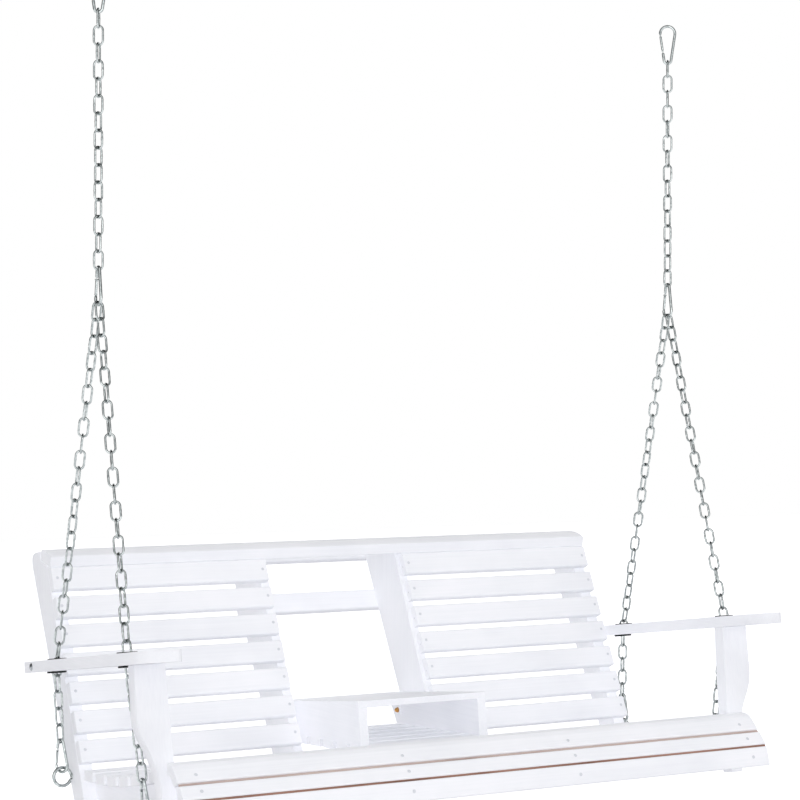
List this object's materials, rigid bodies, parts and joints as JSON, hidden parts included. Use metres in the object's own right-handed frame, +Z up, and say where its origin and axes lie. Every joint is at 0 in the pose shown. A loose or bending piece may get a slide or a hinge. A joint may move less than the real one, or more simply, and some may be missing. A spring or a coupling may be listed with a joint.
{
  "type": "porch swing seat",
  "caption": "White slatted wooden porch swing bench with armrests, a console that folds down from the back, and oval-link chains on carabiners",
  "frame": {"origin": "midway between the two points where the ceiling hooks bear inside the top carabiners", "axes": "+X to the right seen from the front of the seat, +Y towards the back of the seat, +Z up"},
  "size_m": [1.416, 0.8642, 1.6617],
  "materials": {
    "paint": "satin white exterior paint on softwood",
    "zinc": "bright zinc-plated steel",
    "washer_black": "black powder coat"
  },
  "bodies": {
    "hooks_end": {"top_carabiner_left": "zinc", "top_carabiner_right": "zinc"},
    "upper_chains": {"junction_carabiner_left": "zinc", "junction_carabiner_right": "zinc", "upper_chain_left": "zinc", "upper_chain_right": "zinc"},
    "bench": {"arm_post_left": "paint", "arm_post_right": "paint", "armrest_left": "paint", "armrest_right": "paint", "back_brace": "paint", "back_panel_left": "paint", "back_panel_right": "paint", "back_top_rail": "paint", "cap_rail": "paint", "eye_bolt_front_left": "zinc", "eye_bolt_front_right": "zinc", "eye_bolt_rear_left": "zinc", "eye_bolt_rear_right": "zinc", "front_board_1": "paint", "front_board_2": "paint", "front_board_3": "paint", "front_eye_carabiner_left": "zinc", "front_eye_carabiner_right": "zinc", "inner_joist_left": "paint", "inner_joist_right": "paint", "leg_chain_front_left": "zinc", "leg_chain_front_right": "zinc", "leg_chain_rear_left": "zinc", "leg_chain_rear_right": "zinc", "lower_washer_front_left": "washer_black", "lower_washer_front_right": "washer_black", "lower_washer_rear_left": "washer_black", "lower_washer_rear_right": "washer_black", "outer_joist_left": "paint", "outer_joist_right": "paint", "outer_stile_left": "paint", "outer_stile_right": "paint", "rear_eye_carabiner_left": "zinc", "rear_eye_carabiner_right": "zinc", "seat_slat_1": "paint", "seat_slat_2": "paint", "seat_slat_3": "paint", "seat_slat_4": "paint", "seat_slat_5": "paint", "seat_slat_6": "paint", "seat_slat_7": "paint", "upper_washer_front_left": "washer_black", "upper_washer_front_right": "washer_black", "upper_washer_rear_left": "washer_black", "upper_washer_rear_right": "washer_black"},
    "console": {"console_box": "paint"},
    "front_eye_gate_left": {"front_eye_gate_left": "zinc"},
    "front_eye_gate_right": {"front_eye_gate_right": "zinc"},
    "junction_gate_left": {"junction_gate_left": "zinc"},
    "junction_gate_right": {"junction_gate_right": "zinc"},
    "rear_eye_gate_left": {"rear_eye_gate_left": "zinc"},
    "rear_eye_gate_right": {"rear_eye_gate_right": "zinc"},
    "top_gate_left": {"top_gate_left": "zinc"},
    "top_gate_right": {"top_gate_right": "zinc"}
  },
  "joints": [
    {"name": "swing", "type": "hinge", "parent": "hooks_end", "child": "upper_chains", "pos_m": [0, 0, -0.0743], "axis": [1, 0, 0], "range_deg": [-30, 30]},
    {"name": "bench_pitch", "type": "hinge", "parent": "upper_chains", "child": "bench", "pos_m": [0, 0, -0.6145], "axis": [1, 0, 0], "range_deg": [-20, 20]},
    {"name": "console_fold", "type": "hinge", "parent": "bench", "child": "console", "pos_m": [0, 0.24293, -1.47394], "axis": [-1, 0, 0], "range_deg": [0, 112]},
    {"name": "front_eye_gate_hinge_left", "type": "hinge", "parent": "bench", "child": "front_eye_gate_left", "pos_m": [-0.63924, -0.17691, -1.51165], "axis": [-0.9846, -0.1209, -0.1264], "range_deg": [0, 18], "stiffness_Nm_per_rad": 0.05, "springref_deg": -11.46},
    {"name": "front_eye_gate_hinge_right", "type": "hinge", "parent": "bench", "child": "front_eye_gate_right", "pos_m": [0.63727, -0.17691, -1.5114], "axis": [-0.9845, -0.1209, 0.1273], "range_deg": [0, 18], "stiffness_Nm_per_rad": 0.05, "springref_deg": -11.46},
    {"name": "junction_gate_hinge_left", "type": "hinge", "parent": "upper_chains", "child": "junction_gate_left", "pos_m": [-0.6547, 0.0091, -0.5802], "axis": [-1, 0, 0], "range_deg": [0, 18], "stiffness_Nm_per_rad": 0.05, "springref_deg": -11.46},
    {"name": "junction_gate_hinge_right", "type": "hinge", "parent": "upper_chains", "child": "junction_gate_right", "pos_m": [0.6547, 0.0091, -0.5802], "axis": [-1, 0, 0], "range_deg": [0, 18], "stiffness_Nm_per_rad": 0.05, "springref_deg": -11.46},
    {"name": "rear_eye_gate_hinge_left", "type": "hinge", "parent": "bench", "child": "rear_eye_gate_left", "pos_m": [-0.66697, 0.18972, -1.49077], "axis": [-0.809, -0.5878, -0.0106], "range_deg": [0, 18], "stiffness_Nm_per_rad": 0.05, "springref_deg": -11.46},
    {"name": "rear_eye_gate_hinge_right", "type": "hinge", "parent": "bench", "child": "rear_eye_gate_right", "pos_m": [0.65728, 0.18973, -1.49037], "axis": [-0.8077, -0.5868, 0.0565], "range_deg": [0, 18], "stiffness_Nm_per_rad": 0.05, "springref_deg": -11.46},
    {"name": "top_gate_hinge_left", "type": "hinge", "parent": "hooks_end", "child": "top_gate_left", "pos_m": [-0.66385, 0.00503, -0.05136], "axis": [0.4818, 0.8763, 0], "range_deg": [0, 18], "stiffness_Nm_per_rad": 0.05, "springref_deg": -11.46},
    {"name": "top_gate_hinge_right", "type": "hinge", "parent": "hooks_end", "child": "top_gate_right", "pos_m": [0.64555, 0.00503, -0.05136], "axis": [0.4818, 0.8763, 0], "range_deg": [0, 18], "stiffness_Nm_per_rad": 0.05, "springref_deg": -11.46}
  ]
}
